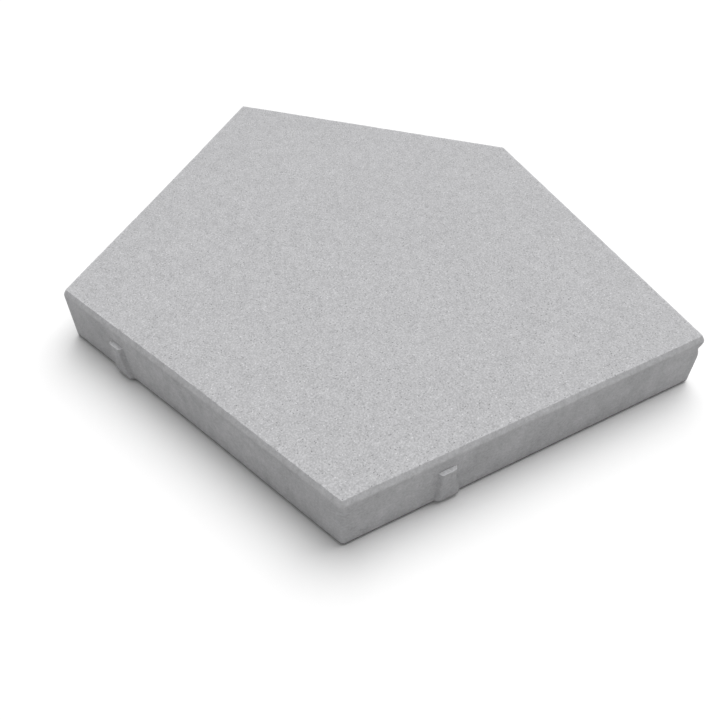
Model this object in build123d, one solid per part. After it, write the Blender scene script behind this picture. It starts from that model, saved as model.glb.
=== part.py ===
"""Five-sided concrete paving slab, pressed in two layers, with spacer nibs.

The slab is a pentagon: a straight base edge, two equal flanks that lean outward and two roof edges that
meet at a blunt apex a little to the left of the middle. A facing layer of fine, pale concrete carries the
walking face and its bevel. It is pressed onto a thicker core of ordinary concrete. One low spacer nib
stands on every side, nearer the corner reached last when walking clockwise round the slab seen from
above, so that two slabs laid side by side keep their joint open.

Row frame: millimetres, +Z up, walking face on top. The origin is on the bed face at the centre of the
bounding box. The base edge faces -Y and the apex points to +Y.
"""

import os
from math import cos, radians, sin

from build123d import *

# ---- Outline of the slab, seen from above ----
BASE_EDGE = 300.0  # straight edge opposite the apex
FLANK_EDGE = 310.0  # each edge rising from the base
FLANK_LEAN = 20.0  # degrees each flank leans outward from square
APEX_RISE = 116.0  # height of the apex above the shoulders
APEX_SHIFT = -6.0  # apex from the middle of the slab, negative to the left
CORNER_RADIUS = 4.0  # rounding of the five upright corners

# ---- Layers, from the bed upward ----
THICKNESS = 50.0  # bed face to walking face
FACING = 10.0  # thickness of the facing layer

# ---- Bevels round the walking face and the bed face ----
# Both insets stay below the corner radius, or the bevels can't turn the upright corners.
BEVEL_DROP = 4.5  # measured down the side
BEVEL_INSET = 2.8  # measured across the walking face
ARRIS_RISE = 4.0  # measured up the side
ARRIS_INSET = 2.5  # measured across the bed face

# ---- Spacer nibs ----
NIB_SHARE = 0.26  # nib centre from its corner, as a share of the side
BASE_NIB_SHARE = 0.22  # the same for the nib on the base edge
NIB_REACH = 3.0  # how far a nib stands out from its side
NIB_FOOT = 20.0  # width where it leaves the side
NIB_CROWN = 12.0  # width of its flat front
NIB_HEIGHT = 2 / 3 * THICKNESS  # top ledge above the bed face
NIB_ROUND = 1.0  # rounding of its two upright front edges

# ---- Corners, clockwise from the left end of the base ----
shoulder_x = BASE_EDGE / 2 + FLANK_EDGE * sin(radians(FLANK_LEAN))
shoulder_y = FLANK_EDGE * cos(radians(FLANK_LEAN))
base_left = Vector(-BASE_EDGE / 2, 0, 0)
shoulder_left = Vector(-shoulder_x, shoulder_y, 0)
apex = Vector(APEX_SHIFT, shoulder_y + APEX_RISE, 0)
shoulder_right = Vector(shoulder_x, shoulder_y, 0)
base_right = Vector(BASE_EDGE / 2, 0, 0)
corners = [base_left, shoulder_left, apex, shoulder_right, base_right]


def outline():
    """The slab's outline as a face on the bed plane, with its corners rounded."""
    face = make_face(Polyline(*corners, close=True))
    return fillet(face.vertices(), CORNER_RADIUS)


def core_layer():
    """Backing concrete: the lower slab, with a bevel round its bed face."""
    slab = extrude(outline(), amount=THICKNESS - FACING)
    bed_face = slab.faces().sort_by(Axis.Z)[0]
    return chamfer(bed_face.edges(), ARRIS_INSET, ARRIS_RISE, reference=bed_face)


def facing_layer():
    """Fine facing concrete: the upper slab, bevelled round the walking face."""
    slab = Pos(0, 0, THICKNESS - FACING) * extrude(outline(), amount=FACING)
    walking_face = slab.faces().sort_by(Axis.Z)[-1]
    return chamfer(walking_face.edges(), BEVEL_INSET, BEVEL_DROP, reference=walking_face)


def nib(start, end, share=NIB_SHARE):
    """Spacer nib on the side from start to end, nearer the end corner.

    Its local x runs along the side, its y points out of the slab. It stands on the flat part of the
    side, from the top of the bed bevel up to its ledge.
    """
    along = (end - start).normalized()
    centre = end - along * (share * (end - start).length)
    plane = Plane(origin=centre, x_dir=along, z_dir=(0, 0, 1))
    profile = make_face(
        Polyline(
            (-NIB_FOOT / 2, 0),
            (-NIB_CROWN / 2, NIB_REACH),
            (NIB_CROWN / 2, NIB_REACH),
            (NIB_FOOT / 2, 0),
            close=True,
        )
    )
    front_corners = profile.vertices().sort_by(Axis.Y)[-2:]
    profile = fillet(front_corners, NIB_ROUND)
    height = NIB_HEIGHT - ARRIS_RISE
    return plane * Pos(0, 0, ARRIS_RISE) * extrude(profile, amount=height, dir=(0, 0, 1))


pieces = {
    "facing_layer": facing_layer(),
    "core_layer": core_layer(),
    "nib_left_flank": nib(base_left, shoulder_left),
    "nib_left_roof": nib(shoulder_left, apex),
    "nib_right_roof": nib(apex, shoulder_right),
    "nib_right_flank": nib(shoulder_right, base_right),
    "nib_base": nib(base_right, base_left, BASE_NIB_SHARE),
}

# ---- Put the origin under the middle of the whole slab's box, on the bed face ----
box = Compound(children=[Compound([piece]) for piece in pieces.values()]).bounding_box()
middle = box.center()
to_origin = Pos(-middle.X, -middle.Y, -box.min.Z)

os.makedirs("parts", exist_ok=True)
for name, piece in pieces.items():
    export_step(to_origin * piece, f"parts/{name}.step")
    print(name, "volume", round(piece.volume), "mm3")
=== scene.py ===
# %% [markdown]
# # A five-sided concrete paving slab
#
# The real object is a pressed concrete slab. A machine fills a steel mould with a core mix, spreads a thin
# facing mix of fine sand over it, and presses both into one block. The mould leaves smooth sides, a bevel
# round the walking face and a low spacer nib on every side. This lesson builds that slab round its exact
# CAD frame, in metres, with the origin on the bed face.

# %% Load the frame and keep its box
import math

import bpy
import numpy as np
from mathutils import Matrix, Vector
from mathutils.geometry import delaunay_2d_cdt


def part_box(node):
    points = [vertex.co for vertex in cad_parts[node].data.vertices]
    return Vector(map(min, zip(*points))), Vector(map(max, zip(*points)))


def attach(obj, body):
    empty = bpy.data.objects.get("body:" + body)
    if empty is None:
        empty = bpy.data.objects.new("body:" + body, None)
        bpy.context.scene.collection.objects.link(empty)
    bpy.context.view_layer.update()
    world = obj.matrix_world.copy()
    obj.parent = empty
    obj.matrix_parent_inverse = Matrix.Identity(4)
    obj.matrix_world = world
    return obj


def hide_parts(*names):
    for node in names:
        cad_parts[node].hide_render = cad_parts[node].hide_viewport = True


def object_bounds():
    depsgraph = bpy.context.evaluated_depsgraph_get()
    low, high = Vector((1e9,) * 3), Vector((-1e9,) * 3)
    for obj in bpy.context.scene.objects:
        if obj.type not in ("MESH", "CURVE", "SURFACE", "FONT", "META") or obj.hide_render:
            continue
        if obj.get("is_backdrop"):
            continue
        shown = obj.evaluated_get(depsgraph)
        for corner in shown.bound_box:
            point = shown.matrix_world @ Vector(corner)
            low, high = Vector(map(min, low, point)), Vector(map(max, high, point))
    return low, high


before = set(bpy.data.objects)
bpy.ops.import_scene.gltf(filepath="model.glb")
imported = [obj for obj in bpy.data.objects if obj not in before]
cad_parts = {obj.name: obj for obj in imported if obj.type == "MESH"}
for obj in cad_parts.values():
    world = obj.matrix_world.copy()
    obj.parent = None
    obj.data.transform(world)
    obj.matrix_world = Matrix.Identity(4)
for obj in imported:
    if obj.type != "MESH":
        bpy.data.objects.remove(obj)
cad_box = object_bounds()
MM = 0.001
print("CAD box in mm", [[round(v / MM, 2) for v in corner] for corner in cad_box])

# %% [markdown]
# ## The sizes of the slab
#
# Every piece is drawn from the same few sizes as the CAD model. The layers' heights, the nibs' heights and
# the line of the base side are read from the frame, so the visual pieces land where the CAD pieces are.

# %% Sizes
BASE_EDGE = 300 * MM
FLANK_EDGE = 310 * MM
FLANK_LEAN = math.radians(20)
APEX_RISE = 116 * MM
APEX_SHIFT = -6 * MM
CORNER_RADIUS = 4 * MM
BEVEL_DROP = 4.5 * MM
ARRIS_RISE = 4 * MM
ARRIS_INSET = 2.5 * MM
NIB_SHARE = 0.26
BASE_NIB_SHARE = 0.22
NIB_REACH = 3 * MM
NIB_FOOT = 20 * MM
NIB_CROWN = 12 * MM

core_low, core_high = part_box("core_layer")
_, facing_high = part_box("facing_layer")
nib_low, nib_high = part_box("nib_base")
TOP = facing_high[2]
SEAM = core_high[2]
base_y = core_low[1]
print("walking face at", round(TOP / MM, 1), "mm, seam at", round(SEAM / MM, 1), "mm")

# %% [markdown]
# ## The outline
#
# The outline is walked clockwise seen from above, from the left end of the base. Each point keeps the
# direction that points straight out of the slab there, because every later step moves points in or out
# along it. The sides came out of the mould slightly hollow, so a side's middle sits up to a millimetre
# inside its straight line.

# %% Corners and sides
shoulder_x = BASE_EDGE / 2 + FLANK_EDGE * math.sin(FLANK_LEAN)
shoulder_y = base_y + FLANK_EDGE * math.cos(FLANK_LEAN)
CORNERS = [
    Vector((-BASE_EDGE / 2, base_y)),
    Vector((-shoulder_x, shoulder_y)),
    Vector((APEX_SHIFT, shoulder_y + APEX_RISE)),
    Vector((shoulder_x, shoulder_y)),
    Vector((BASE_EDGE / 2, base_y)),
]
SIDES = ["left_flank", "left_roof", "right_roof", "right_flank", "base"]
HOLLOW_MM = {"left_flank": 0.7, "left_roof": 0.05, "right_roof": 0.05, "right_flank": 0.1, "base": 1.0}


def side_frame(i):
    """Start, end, direction along and direction out of side i."""
    start, end = CORNERS[i], CORNERS[(i + 1) % 5]
    along = (end - start).normalized()
    return start, end, along, Vector((-along.y, along.x))


for i, name in enumerate(SIDES):
    start, end, _, _ = side_frame(i)
    print(name, round((end - start).length / MM, 1), "mm long")

# %% Walk the outline
STEP = 1.5 * MM  # between points along a side
ARC_STEPS = 6  # round each corner


def walk():
    """Points round the slab, their outward directions, and how far each is hollowed."""
    points, outs, hollows = [], [], []
    for i, name in enumerate(SIDES):
        start, end, along, out = side_frame(i)
        *_, next_out = side_frame((i + 1) % 5)
        *_, last_out = side_frame((i - 1) % 5)
        cut_start = CORNER_RADIUS * math.tan(last_out.angle(out) / 2)
        cut_end = CORNER_RADIUS * math.tan(next_out.angle(out) / 2)
        length = (end - start).length
        count = round((length - cut_start - cut_end) / STEP)
        for k in range(count + 1):
            t = (cut_start + (length - cut_start - cut_end) * k / count) / length
            points.append(start + along * length * t)
            outs.append(out)
            hollows.append(HOLLOW_MM[name] * MM * math.sin(math.pi * t) ** 2)
        centre = end - along * cut_end - out * CORNER_RADIUS
        turn = next_out.angle(out)
        for k in range(1, ARC_STEPS):
            a = turn * k / ARC_STEPS
            ray = out * math.cos(a) + along * math.sin(a)
            points.append(centre + ray * CORNER_RADIUS)
            outs.append(ray)
            hollows.append(0.0)
    return np.array(points), np.array(outs), np.array(hollows)


rim, rim_out, rim_hollow = walk()
rim = rim - rim_out * rim_hollow[:, None]
print(len(rim), "points round the outline")

# %% [markdown]
# ## One way to write nodes
#
# The skin of the concrete and its colours are both made with nodes. Wrapping a socket in a small class lets
# node maths read as ordinary Python: an expression on two wires adds the Math node that works it out.


# %% A wire and a net
class Wire:
    """An output socket that takes part in Python arithmetic."""

    def __init__(self, net, socket):
        self.net = net
        self.socket = socket

    def also(self, name):
        """Another output of the same node."""
        return Wire(self.net, find(self.socket.node.outputs, name))

    def math(self, operation, *others):
        """A Math node on this wire and the others."""
        return self.net.make("ShaderNodeMath", {"operation": operation}, dict(enumerate((self, *others))))

    def __add__(self, other):
        return self.math("ADD", other)

    def __sub__(self, other):
        return self.math("SUBTRACT", other)

    def __rsub__(self, other):
        return self.net.make("ShaderNodeMath", {"operation": "SUBTRACT"}, {0: other, 1: self})

    def __mul__(self, other):
        return self.math("MULTIPLY", other)

    __radd__ = __add__
    __rmul__ = __mul__

    def between(self, low, high):
        """0 below low, 1 above high, and a smooth step between them."""
        names = {"Value": self, "From Min": low, "From Max": high}
        return self.net.make("ShaderNodeMapRange", {"interpolation_type": "SMOOTHSTEP"}, names)


def find(sockets, key):
    """A socket by its number, or the shown socket of that name."""
    if isinstance(key, int):
        return sockets[key]
    return next(s for s in sockets if s.name == key and s.enabled)


class Net:
    """A node tree that is filled by method calls."""

    def __init__(self, tree):
        self.tree = tree
        self.tree.nodes.clear()

    def make(self, kind, settings=None, values=None, out=None):
        """Add a node, apply its settings, then set or link its sockets. Gives back one output."""
        node = self.tree.nodes.new(kind)
        for name, value in (settings or {}).items():
            setattr(node, name, value)
        for key, value in (values or {}).items():
            socket = find(node.inputs, key)
            if isinstance(value, Wire):
                self.tree.links.new(value.socket, socket)
            else:
                socket.default_value = value
        shown = [s for s in node.outputs if s.enabled]
        if not shown:
            return Wire(self, None)
        return Wire(self, shown[0] if out is None else find(node.outputs, out))

    def mix(self, share, a, b):
        """Mix two colours."""
        return self.make("ShaderNodeMix", {"data_type": "RGBA"}, {"Factor": share, "A": a, "B": b})

    def noise(self, place, scale, detail=2.0, seed=0.0, roughness=0.5):
        """Noise from 0 to 1 whose patches are about 1 / scale metres across."""
        values = {"Vector": place, "Scale": scale, "Detail": detail, "W": seed, "Roughness": roughness}
        return self.make("ShaderNodeTexNoise", {"noise_dimensions": "4D"}, values)

    def cells(self, place, scale, seed=0.0):
        """Voronoi cells: the distance to the nearest centre, and a random colour for each cell."""
        values = {"Vector": place, "Scale": scale, "W": seed}
        return self.make("ShaderNodeTexVoronoi", {"voronoi_dimensions": "4D"}, values)


print("nodes can be written as Python")

# %% [markdown]
# ## The two concretes
#
# The facing mix is pale: white cement with fine sand, so close up it is a dense sprinkle of lighter and
# darker grains. Its walking face was lightly washed, which bares the sand. Its bevel is smoother and plainer,
# and its tone is a little paler than the walking face's, partly from its own finish and partly as painted
# light. The bevel fades into the side along a ragged line. The upright sides, facing and core alike, are
# greyer, partly from their mould finish and partly as painted shade, with soft clouds and faint upright
# streaks where the block slid out of the mould. Both finishes read Object coordinates. The pieces all sit at
# the origin, so the colour runs on from piece to piece without a break.
#
# Each noise below runs from 0 to 1. Taking away a half centres it, its factor says how far it moves the tone,
# and a tone of 1 is the plain colour.


# %% Helpers for the finishes
def grey(level, cool=0.0):
    """A grey in linear light. A positive cool tints it towards blue, a negative one towards sand."""
    return (level, level, level * (1 + cool), 1)


def finish(net, colour, roughness, height, bump=0.25, reach=0.2 * MM):
    """Join colour, roughness and bump height to a matte shader."""
    normal = net.make("ShaderNodeBump", None, {"Strength": bump, "Distance": reach, "Height": height})
    values = {"Base Color": colour, "Roughness": roughness, "Normal": normal, "Specular IOR Level": 0.3}
    shader = net.make("ShaderNodeBsdfPrincipled", None, values)
    net.make("ShaderNodeOutputMaterial", None, {"Surface": shader})


def new_material(name):
    """A material, its net, and the Object coordinates to start from."""
    material = bpy.data.materials.new(name)
    material.use_nodes = True
    net = Net(material.node_tree)
    return material, net, net.make("ShaderNodeTexCoord", out="Object")


def mould_tone(net, place):
    """Tone of an upright side: soft clouds and faint upright streaks, round 1."""
    stretch = {"Vector": place, "Scale": (1, 1, 0.12)}
    upright = net.make("ShaderNodeMapping", None, stretch)
    clouds = net.noise(place, scale=24, detail=3, seed=11) - 0.5
    streaks = net.noise(upright, scale=150, detail=2, seed=12) - 0.5
    patches = net.noise(place, scale=120, detail=3, seed=14) - 0.5
    grit = net.noise(place, scale=560, detail=3, seed=13, roughness=0.7) - 0.5
    return clouds * 0.42 + streaks * 0.2 + patches * 0.34 + grit * 0.8 + 1


def tinted(net, tone, level, cool):
    """A grey of this level times a tone that runs from 0.5 to 1.5."""
    return net.mix(tone - 0.5, grey(level * 0.5, cool), grey(level * 1.5, cool))


print("finishes can be mixed")

# %% Facing mix
# The bevel's paler tone is partly painted light, and the sides' lower tone is partly painted shade.
FACING_TONE = 0.47
BEVEL_TONE = 0.50
SIDE_TONE = 0.405
facing_finish, net, place = new_material("facing_concrete")
height = net.make("ShaderNodeSeparateXYZ", None, {"Vector": place}, out="Z")
patches = net.noise(place, scale=16, detail=3, seed=1) - 0.5
clouding = net.noise(place, scale=85, detail=2, seed=6) - 0.5
mottle = net.noise(place, scale=230, detail=2, seed=2) - 0.5
sand = net.noise(place, scale=720, detail=3, seed=3, roughness=0.7) - 0.5
print("patches, clouds and sand")

# %% Pale and dark sand grains, one chance for each cell
specks = net.cells(place, scale=700, seed=4)
kind = net.make("ShaderNodeSeparateColor", None, {"Color": specks.also("Color")}, out="Red")
middle = 1 - specks.between(0.18, 0.42)
pale = middle * kind.between(0.74, 0.9)
dark = middle * (1 - kind.between(0.12, 0.28))
print("sand grains for the walking face")

# %% Tones of the walking face, the bevel and the side
# Painted highlight: the walking face is lightened in a thin rim along the arris.
painted_arris_rim = net.make("ShaderNodeAttribute", {"attribute_name": "arris"}, out="Fac")
grain_tone = mottle * 0.34 + sand * 1.4 + pale * 0.5 - dark * 0.8
washed_tone = patches * 0.07 + clouding * 0.09 + grain_tone + painted_arris_rim * 0.2 + 1
bevel_tone = clouding * 0.2 + mottle * 0.4 + sand * 0.7 + 1
top_colour = tinted(net, washed_tone, FACING_TONE, 0.022)
bevel_colour = tinted(net, bevel_tone, BEVEL_TONE, 0.02)
side_colour = tinted(net, mould_tone(net, place), SIDE_TONE, 0.02)
print("three tones")

# %% Where each tone lies
RAGGED = 2.2 * MM  # how far the bevel's foot wanders up and down
FADE = 1.3 * MM  # half the width of the change from bevel to side
ragged = net.noise(place, scale=200, detail=3, seed=7) * RAGGED
foot = ragged + TOP - BEVEL_DROP - RAGGED / 2
on_bevel = (height - foot).between(-FADE, FADE)
washed = height.between(TOP - 0.7 * MM, TOP - 0.2 * MM)
colour = net.mix(washed, net.mix(on_bevel, side_colour, bevel_colour), top_colour)
relief = sand + mottle * 0.6 + pale * 0.3 - dark * 0.4
finish(net, colour, 0.86 + sand * 0.15, relief, bump=0.35, reach=0.25 * MM)
print(facing_finish.name, "has", len(net.tree.nodes), "nodes")

# %% [markdown]
# The core mix has a scatter of pin holes, darkened with painted shade. Painted shade darkens its lowest few
# millimetres, where the slab stands on its bed, and a painted highlight lightens every ledge that faces up.
# Each piece gives the strength of its ledge highlight in a point attribute, and a piece without it has none.

# %% Core mix
core_finish, net, place = new_material("core_concrete")
holes = net.cells(place, scale=260, seed=21)
pick = net.make("ShaderNodeSeparateColor", None, {"Color": holes.also("Color")}, out="Red")
# Painted shade: the pin holes are darkened in the colour as well as sunk by the bump.
pin = (1 - holes.between(0.1, 0.22)) * (1 - pick.between(0.08, 0.12))
height = net.make("ShaderNodeSeparateXYZ", None, {"Vector": place}, out="Z")
# Painted shade: the lowest 4 mm of the side are darkened, by 88% in the lowest 1.5 mm, where the slab meets
# its bed.
painted_foot_shade = 1 - height.between(1.5 * MM, 4.0 * MM)
normal = net.make("ShaderNodeNewGeometry", out="Normal")
facing_up = net.make("ShaderNodeSeparateXYZ", None, {"Vector": normal}, out="Z")
ledge_highlight_strength = net.make("ShaderNodeAttribute", {"attribute_name": "ledge_highlight_strength"}, out="Fac")
# Painted highlight: faces that look up are made paler, as much as the piece's highlight strength says.
painted_ledge_highlight = facing_up.between(0.3, 0.8) * ledge_highlight_strength
tone = (mould_tone(net, place) - pin * 0.3) * (1 - painted_foot_shade * 0.88) * (1 + painted_ledge_highlight)
colour = net.mix(tone * 0.5, grey(0.0), grey(SIDE_TONE * 2, 0.02))
grit = net.noise(place, scale=600, detail=3, seed=22, roughness=0.6)
finish(net, colour, 0.8 + grit * 0.15, grit - pin, bump=0.45, reach=0.25 * MM)
print(core_finish.name, "has", len(net.tree.nodes), "nodes")


# %% Sand grain materials
def grain_finish(name, level, cool):
    """A single grain: one stone colour with a little mottling."""
    material, net, place = new_material(name)
    spots = net.noise(place, scale=1500, detail=2, seed=5)
    colour = net.mix(spots, grey(level * 0.8, cool), grey(level * 1.2, cool))
    finish(net, colour, 0.55, spots)
    return material


quartz_finish = grain_finish("quartz_grain", 0.72, -0.01)
basalt_finish = grain_finish("basalt_grain", 0.26, 0.03)
print("two grain finishes")

# %% [markdown]
# ## The cast skin
#
# Pressed concrete is never quite flat. The skin dips in broad shallow patches, it is finely rough where
# sand grains lie near the surface, and it has a scatter of small pits where air was trapped. This Geometry
# Nodes tree moves each point inward along its own outward direction, so nothing grows past the CAD sizes.
# The movement depends only on where a point is, so the two layers still meet exactly at their seam.

# %% Open and close a tree
NUMBER = "NodeSocketFloat"
VECTOR = "NodeSocketVector"


def new_tree(name, inputs):
    """A Geometry Nodes tree with a geometry input and output, a material input and the named inputs."""
    tree = bpy.data.node_groups.new(name, "GeometryNodeTree")
    face = tree.interface
    face.new_socket("Geometry", in_out="OUTPUT", socket_type="NodeSocketGeometry")
    face.new_socket("Geometry", in_out="INPUT", socket_type="NodeSocketGeometry")
    material = face.new_socket("Material", in_out="INPUT", socket_type="NodeSocketMaterial")
    keys = {"Material": material.identifier}
    for key, (kind, value) in inputs.items():
        socket = face.new_socket(key, in_out="INPUT", socket_type=kind)
        socket.default_value = value
        keys[key] = socket.identifier
    net = Net(tree)
    return tree, net, net.make("NodeGroupInput"), keys


def close_tree(net, geometry, given):
    """Every tree ends as real mesh with its material."""
    real = net.make("GeometryNodeRealizeInstances", None, {"Geometry": geometry})
    coat = {"Geometry": real, "Material": given.also("Material")}
    net.make("NodeGroupOutput", None, {"Geometry": net.make("GeometryNodeSetMaterial", None, coat)})


def read_attribute(net, name, kind):
    """A named attribute of the points, inside a Geometry Nodes tree."""
    return net.make("GeometryNodeInputNamedAttribute", {"data_type": kind}, {"Name": name})


def scaled(net, vector, amount):
    """A vector times a number."""
    return net.make("ShaderNodeVectorMath", {"operation": "SCALE"}, {0: vector, "Scale": amount})


def added(net, a, b):
    """The sum of two vectors."""
    return net.make("ShaderNodeVectorMath", {"operation": "ADD"}, {0: a, 1: b})


print("trees can be opened and closed")

# %% The skin tree
skin_inputs = {
    "Broad depth": (NUMBER, 0.18 * MM),
    "Fine depth": (NUMBER, 0.16 * MM),
    "Arris wear": (NUMBER, 0.5 * MM),
    "Pit depth": (NUMBER, 0.4 * MM),
    "Seed": (NUMBER, 3.0),
}
skin, net, given, skin_keys = new_tree("cast skin", skin_inputs)
place = net.make("GeometryNodeInputPosition")
seed = given.also("Seed")
outward = read_attribute(net, "out", "FLOAT_VECTOR")
arris = read_attribute(net, "arris", "FLOAT")
broad = net.noise(place, scale=30, detail=2, seed=seed) * given.also("Broad depth")
fine = net.noise(place, scale=420, detail=3, seed=seed + 1, roughness=0.6) * given.also("Fine depth")
flaking = net.noise(place, scale=110, detail=4, seed=seed + 2, roughness=0.6)
chips = flaking.between(0.5, 0.75) * arris * given.also("Arris wear")
bubble = net.cells(place, scale=130, seed=seed + 3)
chosen = net.make("ShaderNodeSeparateXYZ", None, {"Vector": bubble.also("Color")}, out="X")
pits = (1 - bubble.between(0.05, 0.2)) * chosen.math("GREATER_THAN", 0.85) * given.also("Pit depth")
offset = scaled(net, outward, (broad + fine + chips + pits) * -1)
moved = net.make("GeometryNodeSetPosition", None, {"Geometry": given, "Offset": offset})
close_tree(net, moved, given)
print("skin tree has", len(skin.nodes), "nodes")


# %% Turn a tree into a plain mesh
CREASE = math.radians(55)  # edges that turn by more than this stay sharp


def bake(piece, tree, keys, values):
    """Run a tree on a piece with these inputs, and keep only the plain mesh."""
    modifier = piece.modifiers.new(tree.name, "NODES")
    modifier.node_group = tree
    for key, value in values.items():
        modifier[keys[key]] = value
    bpy.context.view_layer.update()
    graph = bpy.context.evaluated_depsgraph_get()
    mesh = bpy.data.meshes.new_from_object(piece.evaluated_get(graph))
    piece.modifiers.remove(modifier)
    piece.data = mesh
    mesh.name = piece.name
    if "out" in mesh.attributes:
        mesh.attributes.remove(mesh.attributes["out"])
    mesh.shade_smooth()
    mesh.set_sharp_from_angle(angle=CREASE)
    mesh.calc_loop_triangles()
    print(piece.name, len(mesh.loop_triangles), "triangles")
    return piece


def new_piece(name, mesh=None):
    """An object at the origin, in the scene."""
    piece = bpy.data.objects.new(name, mesh or bpy.data.meshes.new(name))
    bpy.context.scene.collection.objects.link(piece)
    return piece


print("trees can be baked, with creases above", round(math.degrees(CREASE)), "degrees")

# %% [markdown]
# ## A closed layer
#
# Each layer is a stack of rings round the outline, joined into a wall, with a cap on its top and bottom. A
# cap that shows is filled with an even lattice of triangles, so the skin has points to move. A cap that
# lies against the other layer is filled plainly.
#
# Two corners have been knocked, as they often are on a slab, and each has one small rounded nick.


# %% Lattices and caps
def lattice(margin, step):
    """Points in a triangular lattice, at least margin inside every side."""
    rows = np.arange(base_y, shoulder_y + APEX_RISE, step * math.sqrt(0.75))
    columns = np.arange(-shoulder_x, shoulder_x, step)
    grid = np.array([(x + step / 2 * (r % 2), y) for r, y in enumerate(rows) for x in columns])
    keep = np.ones(len(grid), bool)
    for i, name in enumerate(SIDES):
        start, _, _, out = side_frame(i)
        keep &= (grid - np.array(start)) @ np.array(out) < -(margin + HOLLOW_MM[name] * MM)
    return grid[keep]


INSIDE_ONLY = 1  # tells the filler to drop the triangles outside the edge
SAME_POINT = 1e-6  # points nearer than this, in mm, count as one


def fill(edge, inside):
    """Triangles between a closed edge and the points inside it, facing up."""
    flat = [Vector(p) / MM for p in (*edge, *inside)]
    loop = [(k, (k + 1) % len(edge)) for k in range(len(edge))]
    _, _, faces, origin, _, _ = delaunay_2d_cdt(flat, loop, [], INSIDE_ONLY, SAME_POINT)
    return np.array([[origin[v][0] for v in face] for face in faces])


print("caps can be filled")

# %% Corner nicks
NICKS = [  # number of the corner, drop from the walking face, reach, depth
    (3, 13 * MM, 7 * MM, 1.9 * MM),
    (4, 14 * MM, 4 * MM, 1.0 * MM),
]
NICK_SQUAT = 0.6  # height of a nick as a share of its reach along the side


def nicked(height):
    """How far each point of the outline is chipped in at this height."""
    depth = np.zeros(len(rim))
    for corner, drop, reach, deepest in NICKS:
        away = np.hypot(*(rim - np.array(CORNERS[corner])).T) / reach
        level = (height - TOP + drop) / (NICK_SQUAT * reach)
        depth += deepest * np.exp(-away * away - level * level)
    return depth


print(len(NICKS), "corner nicks")


# %% Rings and the layer that they close
def rings(rows):
    """Points, outward directions, wear and wall faces of the rings."""
    n = len(rim)
    places, outs, arris = [], [], []
    for inset, height, tilt, worn in rows:
        moved_in = rim_out * (inset + nicked(height))[:, None]
        places.append(np.column_stack([rim - moved_in, np.full(n, height)]))
        level = math.sqrt(1 - tilt * tilt)
        outs.append(np.column_stack([rim_out * level, np.full(n, tilt)]))
        arris.append(np.full(n, worn))
    faces = []
    for r in range(len(rows) - 1):
        for k in range(n):
            a, b = r * n + k, r * n + (k + 1) % n
            faces.append((a, b, b + n, a + n))
    return places, outs, arris, faces


def layer(name, rows, top_step=None, bed_step=None):
    """A closed mesh from rings, each given as its inset, height, upward tilt of its outs and wear."""
    n = len(rim)
    places, outs, arris, faces = rings(rows)
    count = n * len(rows)
    for row, step, up in ((0, top_step, 1.0), (len(rows) - 1, bed_step, -1.0)):
        inside = lattice(rows[row][0] + 0.6 * step, step) if step else np.empty((0, 2))
        cap = fill(places[row][:, :2], inside)
        index = np.concatenate([np.arange(row * n, row * n + n), np.arange(count, count + len(inside))])
        cap = index[cap] if up > 0 else index[cap][:, ::-1]
        faces.extend(map(tuple, cap.tolist()))
        places.append(np.column_stack([inside, np.full(len(inside), rows[row][1])]))
        outs.append(np.tile([0.0, 0.0, up], (len(inside), 1)))
        arris.append(np.zeros(len(inside)))
        count += len(inside)
    mesh = bpy.data.meshes.new(name)
    mesh.from_pydata(np.concatenate(places).tolist(), [], faces)
    outward = mesh.attributes.new("out", "FLOAT_VECTOR", "POINT")
    outward.data.foreach_set("vector", np.concatenate(outs).ravel())
    wear = mesh.attributes.new("arris", "FLOAT", "POINT")
    wear.data.foreach_set("value", np.concatenate(arris))
    return new_piece(name, mesh)


print("layers can be built")

# %% [markdown]
# ## The facing layer
#
# The arris between the walking face and the bevel is the part that wears and chips first, so the rings are
# close together there and the skin's wear is strongest. The foot of the bevel is only eased, and a few more
# rings carry the upright side down to the seam. The profile is a short list in millimetres, from the walking
# face down.

# %% Facing layer
FINE_STEP = 1.55 * MM  # between points of the walking face
BEVEL_PROFILE = [  # inset and drop in mm, tilt of the outward direction, wear
    (3.05, 0.0, 1.0, 0.5),
    (2.90, 0.03, 0.95, 0.9),
    (2.74, 0.20, 0.75, 1.0),
    (2.45, 0.65, 0.55, 0.6),
    (2.02, 1.3, 0.53, 0.35),
    (1.55, 2.05, 0.53, 0.2),
    (1.08, 2.8, 0.53, 0.2),
    (0.64, 3.5, 0.52, 0.25),
    (0.26, 4.15, 0.42, 0.35),
    (0.06, 4.7, 0.2, 0.25),
    (0.0, 5.4, 0.03, 0.0),
]
SIDE_START = 6.5 * MM  # drop of the first plain ring below the bevel
facing_rows = [(inset * MM, TOP - drop * MM, tilt, worn) for inset, drop, tilt, worn in BEVEL_PROFILE]
facing_rows += [(0.0, float(h), 0.0, 0.0) for h in np.linspace(TOP - SIDE_START, SEAM, 4)]
facing = layer("facing_slab", facing_rows, top_step=FINE_STEP)
bake(facing, skin, skin_keys, {"Material": facing_finish, "Seed": 3.0})

# %% [markdown]
# ## The core layer
#
# The core's side carries on from the facing's, with the same skin. A rounding eases the edge of its bed face,
# where the CAD has a small bevel. It is a quarter of an ellipse, so its rings come from one angle.

# %% Core layer
COARSE_STEP = 4 * MM  # between points of the bed face
ROUND_RISE = ARRIS_RISE - 1.2 * MM  # height at which the rounding starts
core_rows = [(0.0, float(h), 0.0, 0.0) for h in np.linspace(SEAM, ARRIS_RISE, 24)]
for turned in (0, 18, 36, 54, 72, 90):
    a = math.radians(turned)
    inset, height = ARRIS_INSET * (1 - math.cos(a)), ROUND_RISE * (1 - math.sin(a))
    core_rows.append((inset, height, -math.sin(a), 0.5 * math.sin(2 * a)))
core = layer("core_slab", core_rows, bed_step=COARSE_STEP)
bake(core, skin, skin_keys, {"Material": core_finish, "Seed": 3.0})
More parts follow.
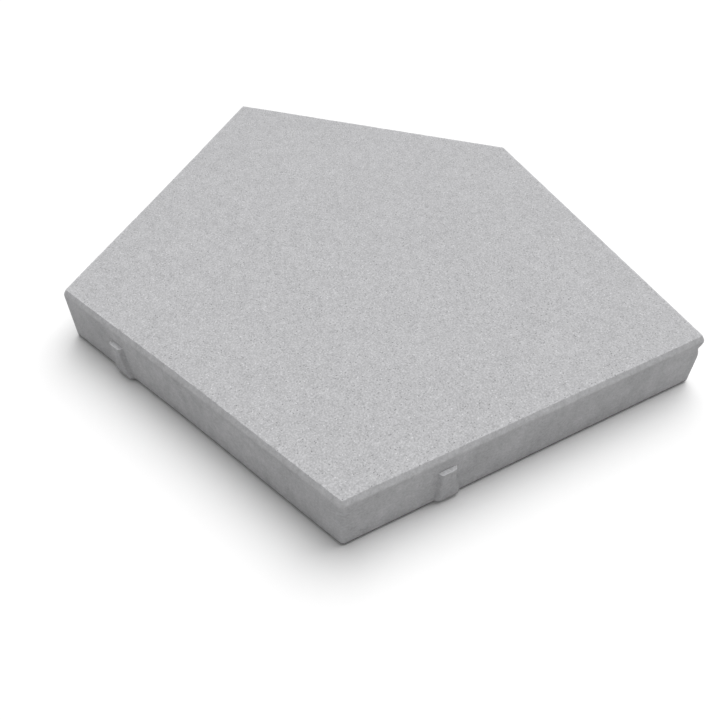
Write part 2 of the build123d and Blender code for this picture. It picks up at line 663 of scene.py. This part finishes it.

# %% [markdown]
# ## The spacer nibs
#
# A nib is a low upright rib with sloping flanks and a flat ledge on top, cast in one with the core. All
# five follow one rule, so one Geometry Nodes tree makes them. It starts from a finely divided block, pushes
# the block's front out to the nib's section, and sets it against its side. Lower down the section grows wider
# and leans a little along the side. The foot runs just under the core's skin, so the flanks fade into the
# wall as a cast fillet does. Each nib carries its own strength of painted highlight for its ledge.

# %% The nib tree starts from a block
# Painted highlight strength for the nibs' ledges: strong on the base and right flank, faint on the other
# three.
FAINT_LEDGE_HIGHLIGHT, STRONG_LEDGE_HIGHLIGHT = 0.25, 0.8
nib_inputs = {
    "Foot": (NUMBER, NIB_FOOT),
    "Crown": (NUMBER, NIB_CROWN),
    "Reach": (NUMBER, NIB_REACH),
    "Ledge": (NUMBER, nib_high[2]),
    "Toe": (NUMBER, nib_low[2]),
    "Flare": (NUMBER, 0.42),
    "Lean": (NUMBER, 5 * MM),
    "Place": (VECTOR, (0, 0, 0)),
    "Along": (VECTOR, (1, 0, 0)),
    "Out": (VECTOR, (0, 1, 0)),
    "Ledge highlight": (NUMBER, FAINT_LEDGE_HIGHLIGHT),
    "Seed": (NUMBER, 3.0),
}
nib_tree, net, given, nib_keys = new_tree("spacer nib", nib_inputs)
block_width, block_tall = NIB_FOOT * 1.7, nib_high[2] + 2 * MM
block_sizes = {"Size": (block_width, 2.0, block_tall), "Vertices X": 52, "Vertices Y": 2, "Vertices Z": 100}
block = net.make("GeometryNodeMeshCube", None, block_sizes)
here = net.make("GeometryNodeInputPosition")
x = net.make("ShaderNodeSeparateXYZ", None, {"Vector": here}, out="X")
is_front = x.also("Y").math("GREATER_THAN", 0.0)
z = x.also("Z") + block_tall / 2
print("block of", block_sizes["Vertices X"], "by", block_sizes["Vertices Z"], "points")

# %% The section of a nib, and how it changes with height
TOP_WIDTH = 0.84  # share of the full width, high up
low_down = 1 - z.between(-4 * MM, 30 * MM)
splay = low_down * given.also("Flare") + TOP_WIDTH
foot_edge = given.also("Foot") * 0.5 * splay
crown_edge = given.also("Crown") * 0.5 * splay
off_axis = x + low_down * given.also("Lean") * 0.5 - given.also("Lean") * 0.1
across = 1 - off_axis.math("ABSOLUTE").between(crown_edge, foot_edge)
rise = 1 - z.between(given.also("Ledge") - 0.35 * MM, given.also("Ledge") + 0.15 * MM)
toe = z.between(given.also("Toe") * 0.2, given.also("Toe") * 1.3)
bulge = across * rise * (toe * 0.35 + 0.65)
print("section set")

# %% Push the front out and set the block against its side
SUNK = 0.7 * MM  # the foot's depth under the core's skin
DEEPEST = 1.4 * MM  # the deepest that the front may lie
BACK = 1.6 * MM  # depth of the block's back
LOWEST = 0.6 * MM  # the nib's clearance above the bed
UNDERCUT, UNDERCUT_RISE = 2.2 * MM, 3.2 * MM  # how far the front draws back at the bed, and up to where
front = bulge * (given.also("Reach") + SUNK) - SUNK
undercut = (1 - z.between(-0.5 * MM, UNDERCUT_RISE)) * UNDERCUT
shaped = (front - undercut).math("MAXIMUM", -DEEPEST)
deep = is_front * (shaped + BACK) - BACK
upright = net.make("ShaderNodeCombineXYZ", None, {"Z": z.math("MAXIMUM", LOWEST)})
sideways = scaled(net, given.also("Along"), x)
outwards = scaled(net, given.also("Out"), deep)
spot = added(net, added(net, given.also("Place"), upright), added(net, sideways, outwards))
placed = net.make("GeometryNodeSetPosition", None, {"Geometry": block, "Position": spot})
print("block in place")


# %% Mark the points and lay the skin
def marked(geometry, name, kind, value):
    """The geometry with a named attribute on its points."""
    store = {"Geometry": geometry, "Name": name, "Value": value}
    settings = {"data_type": kind, "domain": "POINT"}
    return net.make("GeometryNodeStoreNamedAttribute", settings, store)


nib_body = marked(placed, "out", "FLOAT_VECTOR", given.also("Out"))
# The strength of the painted ledge highlight, which the core's finish reads.
nib_body = marked(nib_body, "ledge_highlight_strength", "FLOAT", given.also("Ledge highlight"))
rough = {"Geometry": nib_body, "Seed": given.also("Seed"), "Material": given.also("Material")}
rough["Arris wear"] = 0.0
close_tree(net, net.make("GeometryNodeGroup", {"node_tree": skin}, rough), given)
print("nib tree has", len(nib_tree.nodes), "nodes")

# %% Five nibs
# The nibs whose ledges get the strong painted highlight.
BRIGHT_LEDGE_SIDES = ("base", "right_flank")
LEDGE_LIFT = {"right_flank": 1.4 * MM}  # this nib was cast a little taller
nibs = {}
for i, name in enumerate(SIDES):
    start, end, along, out = side_frame(i)
    share = BASE_NIB_SHARE if name == "base" else NIB_SHARE
    foot = end - along * (share * (end - start).length)
    nib = new_piece("nib_" + name + "_rib")
    values = {"Place": [*foot, 0.0], "Along": [*along, 0.0], "Out": [*out, 0.0]}
    values["Ledge"] = nib_high[2] + LEDGE_LIFT.get(name, 0.0)
    values["Ledge highlight"] = STRONG_LEDGE_HIGHLIGHT if name in BRIGHT_LEDGE_SIDES else FAINT_LEDGE_HIGHLIGHT
    nibs[name] = bake(nib, nib_tree, nib_keys, {"Material": core_finish, **values})

# %% [markdown]
# ## Bared sand grains
#
# Washing the walking face leaves grains of sand standing a little proud. They are far too many to place by
# hand, so a Geometry Nodes tree scatters points over the upward faces, no two closer than a set distance,
# and puts one small stone at each. The seed is fixed, so the same grains come out every time. Each grain is
# sunk in the paste, and none may rise above the CAD's walking face.

# %% The grain tree
grain_inputs = {
    "Density": (NUMBER, 16000.0),
    "Spacing": (NUMBER, 2.4 * MM),
    "Radius": (NUMBER, 0.42 * MM),
    "Highest": (NUMBER, TOP),
    "Seed": ("NodeSocketInt", 7),
}
grain_tree, net, given, grain_keys = new_tree("bared grains", grain_inputs)
normal_z = net.make("ShaderNodeSeparateXYZ", None, {"Vector": net.make("GeometryNodeInputNormal")}, out="Z")
place_z = net.make("ShaderNodeSeparateXYZ", None, {"Vector": net.make("GeometryNodeInputPosition")}, out="Z")
face_up = normal_z.math("GREATER_THAN", 0.9) * place_z.math("GREATER_THAN", TOP - 0.8 * MM)
scatter = {"Mesh": given, "Selection": face_up, "Distance Min": given.also("Spacing")}
scatter |= {"Density Max": given.also("Density"), "Seed": given.also("Seed")}
points = net.make("GeometryNodeDistributePointsOnFaces", {"distribute_method": "POISSON"}, scatter)
print("points scattered on the walking face")


# %% One stone on each point
def chance(kind, low, high, seed):
    """A random value for each point."""
    return net.make("FunctionNodeRandomValue", {"data_type": kind}, {"Min": low, "Max": high, "Seed": seed})


SINK = (-0.42 * MM, -0.12 * MM)  # the deepest and the shallowest grain
sink = net.make("ShaderNodeCombineXYZ", None, {"Z": chance("FLOAT", *SINK, 1)})
points = net.make("GeometryNodeSetPosition", None, {"Geometry": points, "Offset": sink})
stone = net.make("GeometryNodeMeshIcoSphere", None, {"Radius": given.also("Radius"), "Subdivisions": 1})
sizes = chance("FLOAT_VECTOR", (0.6, 0.6, 0.5), (1.5, 1.3, 0.9), 2)
turns = chance("FLOAT_VECTOR", (-0.3, -0.3, 0.0), (0.3, 0.3, 6.283), 3)
put = {"Points": points, "Instance": stone, "Rotation": turns, "Scale": sizes}
stones = net.make("GeometryNodeInstanceOnPoints", None, put)
stones = net.make("GeometryNodeRealizeInstances", None, {"Geometry": stones})
print("stones laid")

# %% Keep every grain below the walking face
axes = net.make("ShaderNodeSeparateXYZ", None, {"Vector": net.make("GeometryNodeInputPosition")}, out="X")
capped = axes.also("Z").math("MINIMUM", given.also("Highest"))
level = net.make("ShaderNodeCombineXYZ", None, {"X": axes, "Y": axes.also("Y"), "Z": capped})
capped_stones = net.make("GeometryNodeSetPosition", None, {"Geometry": stones, "Position": level})
close_tree(net, capped_stones, given)
print("grain tree has", len(grain_tree.nodes), "nodes")

# %% Quartz and basalt grains
GRAINS = {  # finish, grains to a square metre, seed
    "quartz_grains": (quartz_finish, 17000.0, 7),
    "basalt_grains": (basalt_finish, 14000.0, 19),
}
sand_pieces = []
for name, (material, density, number) in GRAINS.items():
    piece = new_piece(name, facing.data.copy())
    values = {"Material": material, "Density": density, "Seed": number}
    sand_pieces.append(bake(piece, grain_tree, grain_keys, values))

# %% [markdown]
# ## What each piece stands for
#
# The slab has no moving parts, so every piece rides on the one body. Each piece stands for the CAD node
# that it draws, and the grains belong to the facing layer.

# %% Ride and replace
for piece in (facing, *sand_pieces):
    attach(piece, "root")
    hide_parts("facing_layer")
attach(core, "root")
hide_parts("core_layer")
for name, nib in nibs.items():
    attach(nib, "root")
    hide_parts("nib_" + name)
print(len(nibs) + len(sand_pieces) + 2, "pieces placed")

# %% [markdown]
# ## Floor, light and camera
#
# The slab lies on a plain white floor. One very broad soft light stands above and behind it, as a studio's
# overhead bank does, and a dim white surround fills the shadows. The floor lies a hair below the bed face, so
# the two don't fight for the same place. The camera looks down over the corner between the base and the right
# flank.

# %% Floor
FLOOR_SIZE = 12
FLOOR_GAP = 0.2 * MM
floor_finish, net, _ = new_material("studio_floor")
paint = {"Base Color": grey(0.97), "Roughness": 0.9, "Specular IOR Level": 0.1}
net.make("ShaderNodeOutputMaterial", None, {"Surface": net.make("ShaderNodeBsdfPrincipled", None, paint)})
bpy.ops.mesh.primitive_plane_add(size=FLOOR_SIZE, location=(0, 0, -FLOOR_GAP))
floor = bpy.context.object
floor.name = "studio_floor"
floor.data.materials.append(floor_finish)
floor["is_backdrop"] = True
print("floor", FLOOR_SIZE, "m across")

# %% Light
SUN_TILT = math.radians(27.5)  # away from straight overhead
SUN_TURN = math.radians(20)  # from straight behind, towards the left
sun = bpy.data.lights.new("overhead_bank", "SUN")
sun.energy = 2.66
sun.angle = math.radians(60)
lamp = bpy.data.objects.new("overhead_bank", sun)
level_x, level_y = -math.sin(SUN_TURN), math.cos(SUN_TURN)
toward_light = Vector((level_x * math.sin(SUN_TILT), level_y * math.sin(SUN_TILT), math.cos(SUN_TILT)))
lamp.rotation_euler = toward_light.to_track_quat("Z", "Y").to_euler()
bpy.context.scene.collection.objects.link(lamp)
print("light from", [round(v, 3) for v in toward_light])

# %% Surround
SURROUND = 0.34
world = bpy.data.worlds.new("studio_surround")
world.use_nodes = True
net = Net(world.node_tree)
glow = net.make("ShaderNodeBackground", None, {"Color": (1, 1, 1, 1), "Strength": SURROUND})
net.make("ShaderNodeOutputWorld", None, {"Surface": glow})
bpy.context.scene.world = world
bpy.context.scene.view_settings.view_transform = "Standard"
print("surround strength", SURROUND)

# %% Camera
PITCH = math.radians(46.988)  # down from level
HEADING = math.radians(-41.336)  # from +Y, clockwise seen from above
ROLL = math.radians(-0.189)
LENS, SENSOR = 39.49, 36
ahead_x, ahead_y = math.sin(HEADING), math.cos(HEADING)
forward = Vector((ahead_x * math.cos(PITCH), ahead_y * math.cos(PITCH), -math.sin(PITCH)))
right = Vector((math.cos(HEADING), -math.sin(HEADING), 0))
down = forward.cross(right)
level_right = math.cos(ROLL) * right + math.sin(ROLL) * down
level_down = math.cos(ROLL) * down - math.sin(ROLL) * right
camera_data = bpy.data.cameras.new("camera")
camera_data.lens = LENS
camera_data.sensor_width = SENSOR
camera = bpy.data.objects.new("camera", camera_data)
turn = Matrix((level_right, -level_down, -forward)).transposed().to_4x4()
eye = Vector((335.2 * MM, base_y - 193.3 * MM, TOP + 419.3 * MM))  # in front of the base, above the slab
camera.matrix_world = Matrix.Translation(eye) @ turn
bpy.context.scene.collection.objects.link(camera)
bpy.context.scene.camera = camera
print("camera", [round(v, 4) for v in eye])

# %% Measure the visual box
new_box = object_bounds()
sizes = {"cad": [list(c) for c in cad_box], "visual": [list(c) for c in new_box]}
print("visual box in mm", [[round(v / MM, 2) for v in corner] for corner in new_box])
